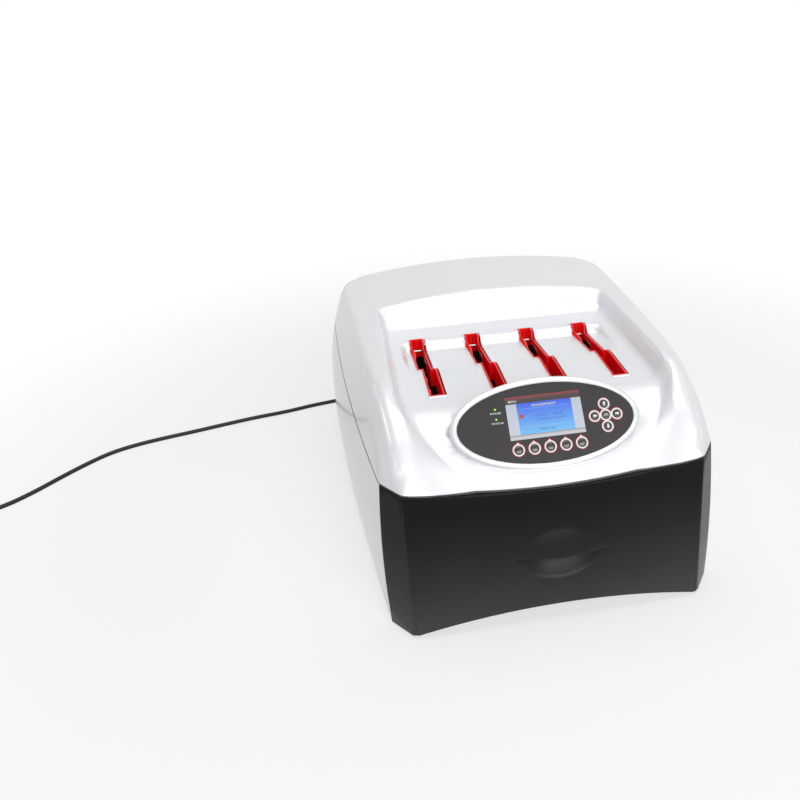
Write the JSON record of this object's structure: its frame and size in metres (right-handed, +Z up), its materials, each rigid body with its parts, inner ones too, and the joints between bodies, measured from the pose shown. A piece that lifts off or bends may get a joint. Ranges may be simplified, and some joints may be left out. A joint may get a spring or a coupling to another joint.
{
  "type": "western blot processor",
  "caption": "Bench instrument with a crowned silver cover, red card ports, an oval console with screen and keys, and a black front drawer.",
  "frame": {"origin": "centre of the bounding box at the bench surface, without the power cord", "axes": "+X to the right seen from the front, +Y to the rear, +Z up"},
  "size_m": [1.1831, 0.7609, 0.2883],
  "materials": {
    "cover_silver": "silver-white painted plastic, satin gloss",
    "front_black": "black, fine matte texture",
    "frame_silver": "silver paint",
    "port_red": "bright red",
    "guide_dark": "dark grey",
    "contact_metal": "plated",
    "overlay_grey": "printed film, satin",
    "display_glass": "clear window",
    "display_panel": "lit blue screen",
    "board_green": "circuit board",
    "led_green": "green lamp",
    "key_black": "domed black key",
    "tub_grey": "moulded grey",
    "plate_steel": "powder coat",
    "foot_rubber": "matte",
    "slide_steel": "zinc plated",
    "panel_grey": "powder coat",
    "inlet_black": "black",
    "supply_case": "folded sheet",
    "cord_black": "flexible mains lead"
  },
  "bodies": {
    "housing": {"top_cover": "cover_silver", "card_port_1": "port_red", "card_port_2": "port_red", "card_port_3": "port_red", "card_port_4": "port_red", "card_guide_1": "guide_dark", "card_guide_2": "guide_dark", "card_guide_3": "guide_dark", "card_guide_4": "guide_dark", "port_contacts": "contact_metal", "console_overlay": "overlay_grey", "display_window": "display_glass", "display_module": "display_panel", "key_board": "board_green", "status_leds": "led_green", "front_frame": "frame_silver", "lower_housing": "cover_silver", "base_plate": "plate_steel", "feet": "foot_rubber", "slide_outer_left": "slide_steel", "slide_bracket_left": "plate_steel", "slide_outer_right": "slide_steel", "slide_bracket_right": "plate_steel", "rear_panel": "panel_grey", "power_inlet": "inlet_black", "switch_housing": "inlet_black", "fan_frame": "inlet_black", "fan_grille": "slide_steel", "fan_screws": "slide_steel", "board_standoffs": "contact_metal", "main_board": "board_green", "power_supply": "supply_case", "power_cord": "cord_black", "cord_coil": "cord_black", "cord_connector": "cord_black", "cord_plug": "cord_black"},
    "drawer": {"drawer_front": "front_black", "front_backing": "tub_grey", "drawer_tub": "tub_grey", "slide_inner_left": "slide_steel", "slide_inner_right": "slide_steel"},
    "slide_middle": {"slide_mid_left": "slide_steel", "slide_mid_right": "slide_steel"},
    "rocker": {"power_switch": "key_black"},
    "fan": {"fan_rotor": "inlet_black"},
    "key_soft_1_body": {"key_soft_1": "key_black"},
    "key_soft_2_body": {"key_soft_2": "key_black"},
    "key_soft_3_body": {"key_soft_3": "key_black"},
    "key_soft_4_body": {"key_soft_4": "key_black"},
    "key_soft_5_body": {"key_soft_5": "key_black"},
    "key_up_body": {"key_up": "key_black"},
    "key_down_body": {"key_down": "key_black"},
    "key_left_body": {"key_left": "key_black"},
    "key_right_body": {"key_right": "key_black"},
    "key_ok_body": {"key_ok": "key_black"}
  },
  "joints": [
    {"name": "drawer_slide", "type": "slide", "parent": "housing", "child": "drawer", "axis": [0, -1, 0], "range_m": [0, 0.25]},
    {"name": "slide_middle_travel", "type": "slide", "parent": "housing", "child": "slide_middle", "axis": [0, -1, 0], "range_m": [0, 0.125]},
    {"name": "key_soft_1_press", "type": "slide", "parent": "housing", "child": "key_soft_1_body", "axis": [0, 0.7373, -0.6756], "range_m": [0, 0.0008], "stiffness_N_per_m": 1200},
    {"name": "key_soft_2_press", "type": "slide", "parent": "housing", "child": "key_soft_2_body", "axis": [0, 0.7373, -0.6756], "range_m": [0, 0.0008], "stiffness_N_per_m": 1200},
    {"name": "key_soft_3_press", "type": "slide", "parent": "housing", "child": "key_soft_3_body", "axis": [0, 0.7373, -0.6756], "range_m": [0, 0.0008], "stiffness_N_per_m": 1200},
    {"name": "key_soft_4_press", "type": "slide", "parent": "housing", "child": "key_soft_4_body", "axis": [0, 0.7373, -0.6756], "range_m": [0, 0.0008], "stiffness_N_per_m": 1200},
    {"name": "key_soft_5_press", "type": "slide", "parent": "housing", "child": "key_soft_5_body", "axis": [0, 0.7373, -0.6756], "range_m": [0, 0.0008], "stiffness_N_per_m": 1200},
    {"name": "key_up_press", "type": "slide", "parent": "housing", "child": "key_up_body", "axis": [0, 0.7373, -0.6756], "range_m": [0, 0.0008], "stiffness_N_per_m": 1200},
    {"name": "key_down_press", "type": "slide", "parent": "housing", "child": "key_down_body", "axis": [0, 0.7373, -0.6756], "range_m": [0, 0.0008], "stiffness_N_per_m": 1200},
    {"name": "key_left_press", "type": "slide", "parent": "housing", "child": "key_left_body", "axis": [0, 0.7373, -0.6756], "range_m": [0, 0.0008], "stiffness_N_per_m": 1200},
    {"name": "key_right_press", "type": "slide", "parent": "housing", "child": "key_right_body", "axis": [0, 0.7373, -0.6756], "range_m": [0, 0.0008], "stiffness_N_per_m": 1200},
    {"name": "key_ok_press", "type": "slide", "parent": "housing", "child": "key_ok_body", "axis": [0, 0.7373, -0.6756], "range_m": [0, 0.0008], "stiffness_N_per_m": 1200},
    {"name": "switch_rock", "type": "hinge", "parent": "housing", "child": "rocker", "pos_m": [0.074, 0.299, 0.062], "axis": [1, 0, 0], "range_deg": [-18, 0]},
    {"name": "fan_spin", "type": "hinge", "parent": "housing", "child": "fan", "pos_m": [-0.092, 0.288, 0.097], "axis": [0, 1, 0], "continuous": true}
  ],
  "couplings": [
    {"joint": "slide_middle_travel", "follows": "drawer_slide", "ratio": 0.5}
  ]
}
